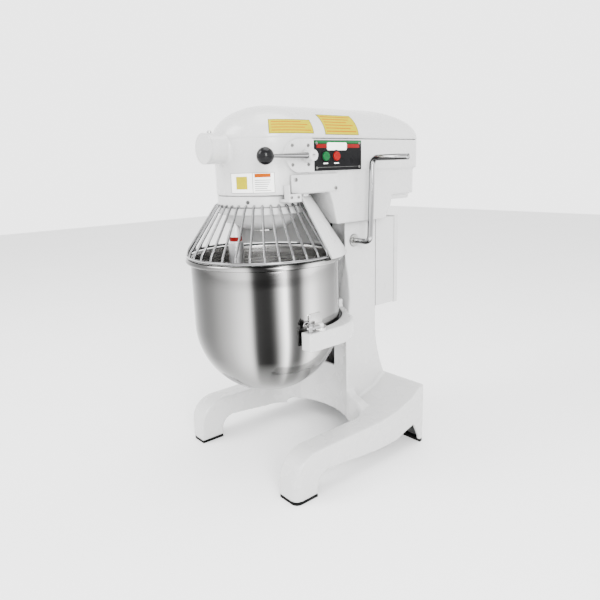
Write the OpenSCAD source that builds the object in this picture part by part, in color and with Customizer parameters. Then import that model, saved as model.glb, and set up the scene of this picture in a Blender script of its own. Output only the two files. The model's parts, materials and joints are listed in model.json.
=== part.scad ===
// Commercial planetary stand mixer with a lifting bowl, a swinging wire guard and a three-speed gearbox.
// Frame: +Z up, floor at Z = 0, operator's front towards -Y, controls and lift handle on the +X side.
// The mechanism is described about the vertical bowl axis, and stand() moves it into the part's frame.

/* [Bowl] */
// Outer radius of the bowl's straight wall
bowl_r = 157.5; // [154:0.5:160]
// Thickness of the bowl's sheet
bowl_wall = 2; // [1.5:0.5:3]
// Height of the rolled rim's centre above the floor
rim_z = 466; // [464:1:468]
// Radius of the rolled rim's section
rim_roll = 6; // [5:0.5:6]
// Height of the centre of the bowl's round bottom
bowl_round_z = 328; // [326:0.5:330]

/* [Head] */
// Half width of the head's cast lower housing
head_half_w = 108; // [106:1:108]
// Half width over the raised belt and of the top cover
belt_half_w = 112; // [111:1:114]
// Distance of the round nose's centre behind the bowl axis
nose_y = 17; // [16:1:24]
// Distance of the head's rear end behind the bowl axis
head_rear = 397.5; // [394:0.5:402]
// Height of the head's underside
head_z = 597; // [596:1:598]
// Height of the joint between housing and top cover
split_z = 703; // [702:1:704]
// Rise of the domed top cover
dome_rise = 69; // [64:1:72]
// Height of the hub and gearbox shafts
hub_z = 688; // [686:1:690]
// Distance of the hub's front face ahead of the bowl axis
hub_front = 134; // [130:1:138]
// Outer radius of the attachment hub
hub_r = 29; // [27:1:30]

/* [Column and base] */
// Half width of the column
column_half_w = 85; // [84:1:88]
// Height of the joint between column and head
neck_z = 530; // [528:1:532]
// Half width of the base
base_half_w = 203; // [200:1:206]
// Distance of the base's front ahead of the bowl axis
base_front = 101; // [98:1:104]
// Distance of the base's rear behind the bowl axis
base_rear = 304; // [300:1:308]
// Half width of the opening between the legs
leg_gap_w = 150; // [148:1:152]
// Height of the legs' flat top
leg_top_z = 100; // [96:1:104]
// Thickness of the rubber soles
sole_h = 6; // [5:1:8]

/* [Guard] */
// Number of wires in the swinging cage
wire_count = 22; // [18:1:22]
// Radius of a guard wire
wire_r = 2.4; // [2:0.1:2.6]
// Radius of the cage's lower hoop
hoop_r = 164; // [162:1:164]

/* [Drive] */
// Distance of the agitator shaft from the bowl axis
orbit_r = 60; // [60:1:60]
// Teeth on the fixed internal gear
ring_teeth = 52; // [52:4:52]
// Teeth on the planet pinion
planet_teeth = 12; // [12:1:12]
// Teeth on the crown wheel
crown_teeth = 32; // [32:4:32]
// Teeth on the bevel pinion
bevel_teeth = 16; // [16:1:16]
// Radius of the motor pulley's pitch line
motor_pulley_r = 22; // [22:1:22]
// Radius of the driven pulley's pitch line
lay_pulley_r = 33; // [33:1:33]

/* [Lift] */
// Height of the lift shaft
lift_z = 486; // [484:1:488]
// Distance of the lift shaft behind the bowl axis
lift_y = 187; // [187:1:189]
// Teeth round the full circle of the lift sector
lift_teeth = 30; // [30:1:30]
// Length of the lift crank's arm
crank_len = 177; // [170:1:180]
// Length of the lift crank's grip
grip_len = 97; // [90:1:100]

/* [Hidden] */
$fn = 96;

bowl_x = -13;           // bowl axis in the part's frame
bowl_y = -115;
clear = 0.3;            // gap between parts that pass or fit each other
run = 0.05;             // radial running clearance
wall = 6;               // casting wall of the head
gear_m = 3;             // module of the planetary and lift gears
speed_m = 2;            // module of the speed gears
rear_r = 48;            // radius of the head's rear corners in plan
planet_dir = -121.7;    // rest direction of the agitator shaft about the bowl axis
recess_r = 179;         // hollow front of the column, round the bowl axis
lay_x = -48;            // axis of the lay shaft, level with the hub
motor_z = 628;
motor_r = 50;
pulley_y = 330;
lever_y = 25;           // pivot of the speed lever
lever_z = 670;
lever_len = 109.5;
shaft_r = 9;
panel_y = [46, 178];
panel_z = [640, 699];
seam_z = 150;           // parting plane of the base and the column
shield_top = [100, 590];    // radius and height of the fixed shield's edges
shield_low = [175, 472];
wire_pitch = 9.8;           // angle between guard wires
wire_first = 12.5;
hoop_z = 476;
cage_top = [91.8, 580];
cage_low = [160, 487];
yoke_z = [300, 337];
yoke_in = 163;
yoke_out = 176.5;
pin_x = 174;                // bowl pins on the yoke's arms
speed_step = 12;            // travel of the gear cluster from one speed to the next

module stand() translate([bowl_x, bowl_y, 0]) children();
module along_x() rotate([90, 0, 90]) children();       // 2D (y, z) becomes a slab with thickness on +X
module along_y() rotate([-90, 0, 0]) children();       // cylinder axis towards +Y
module both_sides() for (s = [0, 1]) mirror([s, 0, 0]) children();

// Points of an arc from angle a to angle b.
function arc(c, r, a, b, n = 6) = [for (i = [0:n]) c + r * [cos(a + (b - a) * i / n), sin(a + (b - a) * i / n)]];

// Outline of a gear with straight-sided teeth; a tooth stands at angle turn, and thin narrows its flanks.
function gear_points(n, foot, tip, turn = 0, thin = 0) = [for (k = [0:n - 1], q = [[thin - 0.31, foot],
  [thin - 0.115, tip], [0.115 - thin, tip], [0.31 - thin, foot]])
  q[1] * [cos(turn + (k + q[0]) * 360 / n), sin(turn + (k + q[0]) * 360 / n)]];

// Spur gear of module m standing on Z = 0.
module spur(n, m, h, turn = 0, thin = 0) linear_extrude(h)
  polygon(gear_points(n, (n / 2 - 1.1) * m, (n / 2 + 0.8) * m, turn, thin));

// Plate with rounded corners, from corner a to corner b.
module round_plate(a, b, r) {
  translate([a[0] + r, a[1]]) square([b[0] - a[0] - 2 * r, b[1] - a[1]]);
  translate([a[0], a[1] + r]) square([b[0] - a[0], b[1] - a[1] - 2 * r]);
  for (x = [a[0] + r, b[0] - r], y = [a[1] + r, b[1] - r]) translate([x, y]) circle(r);
}

// Pan-head screw with a cross recess, its head on Z = 0 and its shank below.
module screw(r = 4, h = 2.2, shank = 2, shank_r = 1.6) {
  difference() {
    cylinder(r1 = r, r2 = r * 0.72, h = h);
    for (t = [0, 90]) rotate(t) translate([-r * 0.5, -0.4, h - 0.8]) cube([r, 0.8, 1]);
  }
  translate([0, 0, -shank]) cylinder(r = shank_r, h = shank + 0.1);
}

// Plan of the head: round nose, straight sides, rounded rear corners; inset moves it all inwards.
module head_plan(half_w, rear, inset = 0) {
  w = half_w - inset;
  rc = rear_r - inset;
  translate([0, nose_y]) circle(w);
  translate([-w, nose_y]) square([2 * w, rear - inset - rc - nose_y]);
  translate([rc - w, nose_y]) square([2 * (w - rc), rear - inset - nose_y]);
  for (s = [-1, 1]) translate([s * (w - rc), rear - inset - rc]) circle(rc);
}

// One ring of the domed cover at height t (0 to 1) of its rise, as points round the head's plan.
function dome_ring(t, half_w, rise, rear) = let (w = half_w * sqrt(1 - t * t), rc = min(rear_r, w), end = rear
    - (half_w - w))
  [for (p = concat(arc([0, nose_y], w, 180, 360, 24), arc([w - rc, end - rc], rc, 0, 90, 10),
    arc([rc - w, end - rc], rc, 90, 180, 10))) [p[0], p[1], split_z + rise * t]];

// Closed dome: rings stacked from the joint to the crown.
module dome(half_w, rise, rear) {
  levels = [for (i = [0:11]) sin(i * 7.8)];
  rings = [for (t = levels) dome_ring(t, half_w, rise, rear)];
  n = len(rings[0]);
  top = len(rings) - 1;
  polyhedron(points = [for (r = rings) each r],
    faces = concat([[for (i = [0:n - 1]) i]], [[for (i = [n - 1:-1:0]) top * n + i]],
      [for (j = [0:top - 1], i = [0:n - 1]) each [[j * n + i, (j + 1) * n + i, j * n + (i + 1) % n],
        [j * n + (i + 1) % n, (j + 1) * n + i, (j + 1) * n + (i + 1) % n]]]));
}

// ---- Pedestal ----
module leg_gap(inset) {
  round_plate([-leg_gap_w - inset, -400], [leg_gap_w + inset, 158 + inset], 45 + inset);
  intersection() {
    circle(recess_r + inset);
    translate([-column_half_w - inset, 0]) square([2 * (column_half_w + inset), 300]);
  }
}
module base_plan(inset) difference() {
  round_plate([inset - base_half_w, inset - base_front], [base_half_w - inset, base_rear - inset], 16 - inset);
  leg_gap(inset);
}
module base_side(inset) polygon(concat([[-base_front + inset, sole_h - 1]],
  arc([-base_front + 62, leg_top_z - 62], 62 - inset, 180, 90, 8),
  [[150, leg_top_z - inset], [205, 108 - inset], [252, 122 - inset], [280, 140 - inset],
  [base_rear - 6 - inset, 144 - inset], [base_rear - inset, 138 - inset], [base_rear - inset, sole_h - 1]]));
module side_arch() translate([-300, 0, 0]) along_x() linear_extrude(600) polygon(concat([[-42, -1], [-42, 20]],
  arc([-12, 20], 30, 180, 90, 6), [[37, 45], [87, 39], [146, 34], [180, 34], [207, 37], [231, 46], [262, 54],
  [279, 18], [284, -1]]));
// Arch under the wall that joins the legs.
module front_arch() translate([0, 194, 0]) rotate([90, 0, 0]) linear_extrude(44)
  polygon([[-150, -1], [-150, 36], [-120, 52], [-80, 60], [80, 60], [120, 52], [150, 36], [150, -1]]);
module column_side(inset) polygon([[153 + inset, neck_z + 1], [158 + inset, 454], [168 + inset, 405],
  [172 + inset, 350], [166 + inset, 300], [156 + inset, 236], [156 + inset, 161], [158 + inset, 136],
  [158 + inset, 90], [290 - inset, 90], [290 - inset, 146], [276 - inset, 180], [264 - inset, 222],
  [258 - inset, 261], [258 - inset, neck_z + 1]]);
// One-piece casting of base and column, parted by the plane at seam_z.
module pedestal() difference() {
  union() {
    intersection() {
      linear_extrude(seam_z) base_plan(0);
      translate([-300, 0, 0]) along_x() linear_extrude(600) base_side(0);
    }
    intersection() {
      translate([-column_half_w, 0, 0]) along_x() linear_extrude(2 * column_half_w) column_side(0);
      translate([-200, 0, 0]) cube([400, 400, neck_z]);
    }
    translate([0, 182, 0]) rotate([90, 0, 0]) linear_extrude(24) polygon([[-138, 92], [-133, 104], [-120, 114],
      [-97, 122], [-85, 134], [85, 134], [97, 122], [120, 114], [133, 104], [138, 92]]);
  }
  intersection() {
    translate([0, 0, -1]) linear_extrude(seam_z) base_plan(8);
    translate([-300, 0, 0]) along_x() linear_extrude(600) base_side(9);
    union() {
      translate([-300, -60, -1]) cube([600, 400, 200]);
      translate([-300, -200, sole_h + 6]) cube([600, 400, 200]);
    }
  }
  side_arch();
  front_arch();
  translate([-300, -300, -1]) cube([600, 700, sole_h + 1]);
  translate([-76, 190, 132]) cube([152, 58, 420]);
  translate([-76, 190, 132]) cube([152, 66, 58]);
  intersection() {
    translate([0, 0, 60]) cylinder(r = recess_r, h = 500);
    translate([-column_half_w, 0, 60]) cube([2 * column_half_w, 300, 500]);
  }
  translate([-21, 150, 175]) cube([42, 60, 420]);
  translate([-100, lift_y, lift_z]) rotate([0, 90, 0]) cylinder(r = 13, h = 200);
}
module base() color("whitesmoke") stand() intersection() {
  pedestal();
  translate([-300, -300, 0]) cube([600, 700, seam_z]);
}
module column() color("whitesmoke") stand() intersection() {
  pedestal();
  translate([-300, -300, seam_z]) cube([600, 700, 500]);
}
module foot_soles() color("black") stand() linear_extrude(sole_h) intersection() {
  base_plan(1);
  both_sides() for (y = [[-base_front, -43], [285, base_rear]]) translate([150, y[0]]) square([60, y[1] - y[0]]);
}
module slide_ways() color("silver") stand() both_sides() translate([44, 190, 185]) cube([28, 3, 285]);
module lift_bushes() color("silver") stand() both_sides() translate([76, lift_y, lift_z]) rotate([0, 90, 0])
  difference() {
    cylinder(r = 12.9, h = 9);
    translate([0, 0, -1]) cylinder(r = 8 + run, h = 20);
  }

// ---- Head ----
module neck_side(inset) polygon([[93 + inset, head_z + 4], [104 + inset, 570], [114 + inset, neck_z - (inset >
    0 ? 1 : 0)],
  [266 - inset, neck_z - (inset > 0 ? 1 : 0)], [272 - inset, 542], [281 - inset, 556], [290 - inset, 569],
  [290 - inset, head_z + 4]]);
module tail_plan(inset) intersection() {
  head_plan(head_half_w, head_rear - 7, inset);
  translate([-200, 262 + inset]) square([400, 200]);
}
module bore_y(x, z, y, r, h) translate([x, y, z]) along_y() cylinder(r = r, h = h);
module head_casting() color("whitesmoke") stand() difference() {
  union() {
    translate([0, 0, head_z]) linear_extrude(split_z - head_z) head_plan(head_half_w, head_rear - 7);
    translate([0, 0, 640]) linear_extrude(split_z - 1 - 640) intersection() {
      head_plan(belt_half_w, head_rear);
      translate([-200, 40]) square([400, 400]);
    }
    translate([-belt_half_w, 0, 0]) along_x() linear_extrude(2 * belt_half_w) intersection() {
      translate([7.5, 671]) circle(31);
      translate([-50, 640]) square([90.5, 62]);
    }
    translate([0, 0, 582]) linear_extrude(20) tail_plan(0);
    translate([0, 0, 570]) linear_extrude(13) tail_plan(10);
    intersection() {
      translate([-head_half_w, 0, 0]) along_x() linear_extrude(2 * head_half_w) neck_side(0);
      translate([0, 0, neck_z]) linear_extrude(80) round_plate([-head_half_w, 80], [head_half_w, 296], 18);
    }
    bore_y(0, hub_z, -hub_front + 4, hub_r, 70);
    translate([0, -93, hub_z]) along_y() cylinder(r1 = hub_r, r2 = 46, h = 14);
  }
  difference() {
    translate([0, 0, head_z + 7]) linear_extrude(200) head_plan(head_half_w, head_rear - 7, wall);
    translate([-120, -120, 622]) cube([240, 250, 12]);
    translate([-120, 136, 600]) cube([240, 8, 200]);
    translate([-120, 48, 630]) cube([84, 8, 82]);
    translate([0, 0, 600.5]) cylinder(r = 30, h = 24);
    translate([0, -88, hub_z]) along_y() cylinder(r = 30, h = 20);
  }
  translate([0, 0, 576]) linear_extrude(40) tail_plan(wall + 10);
  translate([0, 0, 588]) linear_extrude(30) tail_plan(wall);
  intersection() {
    translate([-100, 0, 0]) along_x() linear_extrude(200) neck_side(8);
    translate([-100, 130, neck_z - 1]) cube([200, 160, 90]);
  }
  translate([-54, 145, 576]) cube([108, 140, 40]);
  cover_screw_places() cylinder(r = 1.6, h = 30, center = true);
  translate([0, 0, head_z - 1]) cylinder(r = 86, h = 15.5);
  translate([0, 0, head_z + 4]) cylinder(r = 22, h = 40);
  translate([0, 0, neck_z - 1]) cylinder(r1 = 141.4, r2 = 103, h = 61.4);
  translate([0, 0, neck_z + 59]) cylinder(r = 103, h = head_z - neck_z - 59);
  bore_y(0, hub_z, -hub_front, 18, 53);
  bore_y(0, hub_z, -86, 16, 30);
  bore_y(0, hub_z, 130, 16, 20);
  bore_y(lay_x, hub_z, 40, 14, 30);
  bore_y(lay_x, hub_z, 130, 14, 20);
  translate([95, lever_y, lever_z]) rotate([0, 90, 0]) cylinder(r = 7 + run, h = 30);
  for (y = [76, 105]) translate([95, y, 668]) rotate([0, 90, 0]) cylinder(r = 12, h = 30);
}
module head_top_cover() color("whitesmoke") stand() difference() {
  dome(belt_half_w, dome_rise, head_rear);
  translate([0, 0, -0.5]) dome(belt_half_w - wall, dome_rise - wall, head_rear - wall);
  bore_y(0, hub_z, -140, hub_r + clear, 120);
  translate([0, -93.5, hub_z]) along_y() cylinder(r1 = hub_r + clear, r2 = 47.5, h = 15);
  cover_screw_places() cylinder(r = 1.6, h = 12.5, center = true);
}
module cover_screw_places() both_sides() for (y = [60, 160, 260, 320]) translate([108.6, y, split_z]) children();
module cover_screws() color("gray") stand() cover_screw_places() cylinder(r = 1.5, h = 12, center = true);
module electrical_box() color("white") stand() difference() {
  translate([-column_half_w, 258, 322]) cube([2 * column_half_w, 63, 207]);
  translate([3 - column_half_w, 261, 325]) cube([2 * column_half_w - 6, 70, 201]);
  translate([-column_half_w - 10, 290, 345]) rotate([0, 90, 0]) cylinder(r = 10, h = 20);
}
module electrical_cover() color("white") stand() difference() {
  translate([-column_half_w - 1.5, 321, 320.5]) cube([2 * column_half_w + 3, 12, 210]);
  translate([-column_half_w, 320, 322]) cube([2 * column_half_w, 11, 207]);
  for (x = [-60, 60], z = [340, 510]) translate([x, 325, z]) along_y() cylinder(r = 2.5, h = 20);
}
module cable_gland() color("dimgray") stand() translate([-column_half_w, 290, 345]) rotate([0, 90, 0]) difference() {
  union() {
    translate([0, 0, -12]) cylinder(r = 13, h = 12);
    translate([0, 0, -24]) cylinder(r1 = 8, r2 = 12, h = 12);
    translate([0, 0, -0.1]) cylinder(r = 9.7, h = 12);
  }
  translate([0, 0, -25]) cylinder(r = 5, h = 40);
}
module contactor() color("darkslategray") stand() {
  translate([-70, 266, 420]) cube([60, 45, 70]);
  translate([-66, 262, 424]) cube([52, 5, 62]);
  for (x = [-62, -46, -30]) translate([x, 311, 470]) cube([10, 3, 12]);
}
module lever_plate() color("white") stand() difference() {
  translate([belt_half_w, 0, 0]) along_x() linear_extrude(3) union() {
    translate([7.5, 670]) circle(31.5);
    translate([7.5, 638.5]) square([panel_y[0] - 8, 63]);
  }
  translate([belt_half_w - 1, lever_y, lever_z]) rotate([0, 90, 0]) cylinder(r = 8, h = 10);
  for (y = [-9, 31], z = [653, 689]) translate([belt_half_w - 1, y, z]) rotate([0, 90, 0]) cylinder(r = 1.8, h = 10);
}
module control_panel() color("black") stand() difference() {
  translate([belt_half_w, 0, 0]) along_x() linear_extrude(3.5)
    round_plate([panel_y[0], panel_z[0]], [panel_y[1], panel_z[1]], 2);
  for (y = [76, 105]) translate([belt_half_w - 1, y, 668]) rotate([0, 90, 0]) cylinder(r = 9.5, h = 10);
  for (y = [panel_y[0] + 6, panel_y[1] - 6], z = [panel_z[0] + 6, panel_z[1] - 6])
    translate([belt_half_w - 1, y, z]) rotate([0, 90, 0]) cylinder(r = 1.8, h = 10);
}
// Screws of the control panel and of the lever plate.
module panel_screws() color("silver") stand() {
  for (y = [panel_y[0] + 6, panel_y[1] - 6], z = [panel_z[0] + 6, panel_z[1] - 6])
    translate([belt_half_w + 3.5, y, z]) rotate([0, 90, 0]) screw(3, 1.8, 3.3, 1.6);
  for (y = [-9, 31], z = [653, 689])
    translate([belt_half_w + 3, y, z]) rotate([0, 90, 0]) screw(3.4, 2, 2.8, 1.6);
}
module switch_blocks() color("dimgray") stand() for (y = [76, 105]) difference() {
  translate([78, y - 9, 656]) cube([23.5, 18, 24]);
  translate([88, y, 668]) rotate([0, 90, 0]) cylinder(r = 6, h = 20);
}
module hub_cap() color("whitesmoke") stand() {
  translate([0, -hub_front, hub_z]) along_y() cylinder(r = hub_r, h = 4);
  translate([0, -hub_front + 3.9, hub_z]) along_y() cylinder(r = 17.8, h = 18);
}
module hub_clamp_screw() color("silver") stand() translate([0, -118, hub_z + hub_r]) {
  cylinder(r = 4.5, h = 3);
  translate([0, 0, 3]) cylinder(r = 2.5, h = 2);
}

// ---- Gearbox and motor, fixed pieces ----
module motor() color("slategray") stand() translate([0, 0, motor_z]) difference() {
  union() {
    bore_y(0, 0, 150, motor_r - 4, 158);
    for (k = [0:23]) rotate([0, 15 * k, 0]) translate([-1.2, 165, 20]) cube([2.4, 120, motor_r - 20]);
    bore_y(0, 0, 150, motor_r, 14);
    bore_y(0, 0, 288, motor_r, 20);
    translate([-30, 285, -52]) cube([60, 23, 20]);
  }
  bore_y(0, 0, 140, 9.5, 190);
}
module drive_belt() color("black") stand() translate([0, pulley_y - 5, 0]) rotate([-90, 0, 0]) mirror([0, 1, 0])
  linear_extrude(10) difference() {
    belt_outline(6.5);
    belt_outline(0.5);
  }
// Loop round both pulleys, grown by g over their grooves' bottoms.
module belt_outline(g) {
  far = [lay_x, hub_z];
  near = [0, motor_z];
  span = norm(far - near);
  dir = atan2(far[1] - near[1], far[0] - near[0]);
  lean = asin((lay_pulley_r - motor_pulley_r) / span);
  rb = motor_pulley_r - 4 + g;
  rf = lay_pulley_r - 4 + g;
  translate(near) circle(rb);
  translate(far) circle(rf);
  polygon([near + rb * [cos(dir + 90 + lean), sin(dir + 90 + lean)], near + rb * [cos(dir - 90 - lean), sin(dir
      - 90 - lean)],
    far + rf * [cos(dir - 90 - lean), sin(dir - 90 - lean)], far + rf * [cos(dir + 90 + lean), sin(dir + 90 +
        lean)]]);
}
// Ball bearing drawn as two races and their balls' cage.
module bearing(r_in, r_out, h) difference() {
  cylinder(r = r_out, h = h);
  translate([0, 0, -1]) cylinder(r = r_in, h = h + 2);
  for (z = [-1, h - 1.5]) translate([0, 0, z]) difference() {
    cylinder(r = r_out - 2.5, h = 2.5);
    cylinder(r = r_in + 2.5, h = 2.5);
  }
}
module gearbox_bearings() color("silver") stand() {
  for (y = [-80, 136]) translate([0, y, hub_z]) along_y() bearing(shaft_r + run, 15.9, y < 0 ? 12 : 8);
  for (y = [48, 136]) translate([lay_x, y, hub_z]) along_y() bearing(8 + run, 13.9, 8);
}
module main_bearings() color("silver") stand() for (z = [603, 622]) translate([0, 0, z]) bearing(13 + run, 21.9, 11);
module ring_gear() color("dimgray") stand() translate([0, 0, head_z + 2]) linear_extrude(12) difference() {
  circle(85.7);
  polygon(gear_points(ring_teeth, (ring_teeth / 2 - 0.8) * gear_m, (ring_teeth / 2 + 1.1) * gear_m, planet_dir));
}
module drip_ring() color("silver") stand() difference() {
  union() {
    translate([0, 0, 560]) cylinder(r = 92, h = 13);
    translate([0, 0, 572]) cylinder(r = 85.5, h = head_z + 1.5 - 572);
  }
  translate([0, 0, 559]) cylinder(r = 82.5, h = 60);
}
module fixed_shield() color("gainsboro") stand() {
  rotate_extrude(angle = 156, start = 12) polygon([shield_top, shield_top + [2.5, 0], shield_low + [1.5, 0],
      shield_low + [-1, 0]]);
  rotate_extrude(angle = 156, start = 12) translate([96, 590]) square([6.5, 2.5]);
  difference() {
    rotate_extrude(angle = 10, start = 13) translate([95.5, 592]) square([13, head_z - 592]);
    translate([0, 0, 580]) cylinder(r = 93, h = 30);
  }
  difference() {
    rotate_extrude(angle = 10, start = 157) translate([95.5, 592]) square([13, head_z - 592]);
    translate([0, 0, 580]) cylinder(r = 93, h = 30);
  }
}
module interlock_plate() color("white") stand() {
  translate([head_half_w, 0, 0]) along_x() linear_extrude(3) round_plate([-10, 599.5], [116, 634], 3);
  for (p = [[0, 625], [106, 605]]) translate([head_half_w + 3, p[0], p[1]]) rotate([0, 90, 0])
      cylinder(r = 3.4, h = 2);
}
module selector_guides() color("gray") stand() for (y = [0, 60]) difference() {
  translate([72, y, 634]) cube([16, 6, 72 - 2]);
  translate([74 - clear, y - 1, 684 - clear]) cube([8 + 2 * clear, 10, 20 + 2 * clear]);
}

// ---- Guard ----
module guard_ring() color("white") stand() difference() {
  translate([0, 0, 574]) cylinder(r = 92.5, h = 22.6);
  translate([0, 0, 570]) cylinder(r = 85.5 + 0.1, h = 40);
  rotate(-90 + 42) translate([88, 0, 583]) rotate([0, 90, 0]) cylinder(r = 2.5, h = 10);
}
// One wire in the plane of angle 0: slanting run welded into the ring, knuckle, upright foot on the hoop.
module guard_wire() {
  slant = cage_low - cage_top;
  foot = [hoop_r, hoop_z] - cage_low;
  translate([cage_top[0], 0, cage_top[1]]) rotate([0, atan2(slant[0], slant[1]), 0])
    cylinder(r = wire_r, h = norm(slant));
  translate([cage_low[0], 0, cage_low[1]]) sphere(wire_r + 0.2);
  translate([cage_low[0], 0, cage_low[1]]) rotate([0, atan2(foot[0], foot[1]), 0])
      cylinder(r = wire_r, h = norm(foot));
}
module guard_cage() color("silver") stand() {
  for (k = [0:wire_count - 1]) rotate(wire_first - k * wire_pitch) guard_wire();
  rotate_extrude(angle = (wire_count - 1) * wire_pitch, start = wire_first - (wire_count - 1) * wire_pitch)
    translate([hoop_r, hoop_z]) circle(2.8);
}
module guard_catch() color("white") stand() {
  difference() {
    translate([84, -25, 584]) cube([36.5, 31, 5]);
    translate([0, 0, 570]) cylinder(r = 92.5, h = 40);
  }
  translate([117.5, -25, 583.5]) cube([3, 31, 15.5]);
  translate([106, -25, 584]) cube([14.5, 3, 32]);
  for (y = [-19, -2]) translate([120.4, y, 592.5]) rotate([0, 90, 0]) cylinder(r = 2.4, h = 1.2);
}

// ---- Planetary drive ----
module planetary_carrier() color("lightgray") stand() rotate(planet_dir) difference() {
  union() {
    rotate_extrude() polygon(concat([[0, 597], [70, 597], [72, 595], [72, 562]],
      [for (a = [0:10:80]) [24 + 48 * cos(a), 562 - 37 * sin(a)]], [[24, 525], [0, 525]]));
    translate([orbit_r, 0, 540]) cylinder(r = 17.5, h = 57);
  }
  translate([0, 0, 524]) cylinder(r = 13, h = 80);
  translate([orbit_r, 0, 530]) cylinder(r = 14, h = 80);
}
module main_shaft() color("silver") stand() {
  translate([0, 0, 530]) cylinder(r = 13, h = 144);
  translate([0, 0, 521]) cylinder(r = 19, h = 3.9, $fn = 6);
  translate([0, 0, 524.8]) cylinder(r = 8, h = 6);
}
module crown_wheel() color("dimgray") stand() difference() {
  union() {
    translate([0, 0, 646]) cylinder(r = 24, h = 10);
    translate([0, 0, 654]) cylinder(r = 43, h = 9.1);
    translate([0, 0, hub_z - 25]) linear_extrude(7, scale = 18 / 25)
      polygon(gear_points(crown_teeth, 25 * tan(60), 25 * tan(65.8), 90 + 180 / crown_teeth));
  }
  translate([0, 0, 640]) cylinder(r = 13, h = 40);
}
module agitator_bearing() color("silver") stand() rotate(planet_dir) translate([orbit_r, 0, 560])
  bearing(10 + run, 13.9, 30);
module agitator_shaft() color("silver") stand() rotate(planet_dir) translate([orbit_r, 0, 0]) {
  translate([0, 0, 478]) cylinder(r = 10, h = 136);
  translate([0, 0, 500]) cylinder(r = 11.5, h = 40);
  translate([0, 0, 485]) rotate([90, 0, 0]) cylinder(r = 3, h = 34, center = true);
}
module agitator_collar() color("darkred") stand() rotate(planet_dir) translate([orbit_r, 0, 501]) difference() {
  cylinder(r = 13, h = 9);
  translate([0, 0, -1]) cylinder(r = 11.5, h = 12);
}
module planet_pinion() color("dimgray") stand() rotate(planet_dir) translate([orbit_r, 0, 600]) difference() {
  spur(planet_teeth, gear_m, 10.5, 0, 0.007);
  translate([0, 0, -1]) cylinder(r = 10, h = 20);
}
// Flat beater: a socket, an outer frame that follows the bowl, and cross ribs.
module beater_face(g) intersection() {
  translate([-82 + g, 184 + g]) square([164 - 2 * g, 258 - 2 * g]);
  translate([-orbit_r, bowl_round_z]) circle(bowl_r - 7.5 - g);
  translate([orbit_r, bowl_round_z]) circle(bowl_r - 7.5 - g);
}
module flat_beater() color("silver") stand() rotate(planet_dir) translate([orbit_r, 0, 0]) {
  difference() {
    translate([0, 0, 436]) cylinder(r = 16, h = 62);
    translate([0, 0, 477]) cylinder(r = 10.3, h = 30);
    translate([0, 0, 485]) rotate([90, 0, 0]) cylinder(r = 3.3, h = 40, center = true);
  }
  rotate([90, 0, 0]) translate([0, 0, -5]) linear_extrude(10) {
    difference() {
      beater_face(0);
      beater_face(12);
    }
    translate([-6, 194]) square([12, 248]);
    for (z = [236, 300, 362]) intersection() {
      beater_face(2);
      translate([0, z]) for (s = [-1, 1]) rotate(s > 0 ? 22 : 158) translate([0, -5]) square([110, 10]);
    }
  }
}

// ---- Speed gearbox, turning pieces ----
module gearbox_shaft() color("silver") stand() difference() {
  bore_y(0, hub_z, -100, shaft_r, 247);
  translate([-5, -101, hub_z - 5]) cube([10, 22, 10]);
}
module bevel_pinion() color("dimgray") stand() difference() {
  union() {
    translate([0, 50, hub_z]) rotate([90, 0, 0]) linear_extrude(14, scale = 36 / 50)
      polygon(gear_points(bevel_teeth, 50 * tan(23.2), 50 * tan(28.9), -90));
    bore_y(0, hub_z, 49.9, 19, 8);
  }
  bore_y(0, hub_z, 30, shaft_r, 40);
}
// Gear of the cluster or the lay shaft, n teeth, centred at y on the axis at x.
module speed_gear(n, x, y, turn) translate([x, y - 4, hub_z]) rotate([-90, 0, 0]) spur(n, speed_m, 8, turn);
module gear_cluster() color("gray") stand() difference() {
  union() {
    bore_y(0, hub_z, 70, 14, 48);
    speed_gear(32, 0, 76, 180);
    speed_gear(24, 0, 100, 180);
    speed_gear(18, 0, 111, 190);
  }
  bore_y(0, hub_z, 60, shaft_r + run, 80);
}
module lay_shaft() color("silver") stand() bore_y(lay_x, hub_z, 46, 8, 298);
module lay_gears() color("gray") stand() difference() {
  union() {
    speed_gear(16, lay_x, 64, 180 / 16);
    bore_y(lay_x, hub_z, 60, 12, 67);
    speed_gear(24, lay_x, 100, 180 / 24);
    speed_gear(30, lay_x, 123, 0);
  }
  bore_y(lay_x, hub_z, 50, 8, 90);
}
// V-belt pulley, its groove's pitch radius r, on a shaft of radius bore.
module vee_pulley(x, z, r, bore) translate([x, pulley_y - 9, z]) rotate([-90, 0, 0]) difference() {
  rotate_extrude() polygon([[bore, 0], [r + 3, 0], [r + 3, 2.6], [r - 3.8, 3.7], [r - 3.8, 14.3], [r + 3, 15.4],
    [r + 3, 18], [bore, 18]]);
  for (k = [0:3]) rotate(90 * k) translate([(r + bore) / 2 - 1, 0, -1]) cylinder(r = (r - bore) / 2 - 4, h = 20);
}
module lay_pulley() color("gray") stand() vee_pulley(lay_x, hub_z, lay_pulley_r, 8);
module motor_pulley() color("gray") stand() {
  translate([0, pulley_y - 9, motor_z]) rotate([-90, 0, 0]) rotate_extrude() polygon([[0, 0], [motor_pulley_r + 3, 0],
    [motor_pulley_r + 3, 2.6], [motor_pulley_r - 3.8, 3.7], [motor_pulley_r - 3.8, 14.3], [motor_pulley_r + 3, 15.4],
    [motor_pulley_r + 3, 18], [0, 18]]);
  bore_y(0, motor_z, 146, 9, 176);
}

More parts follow.
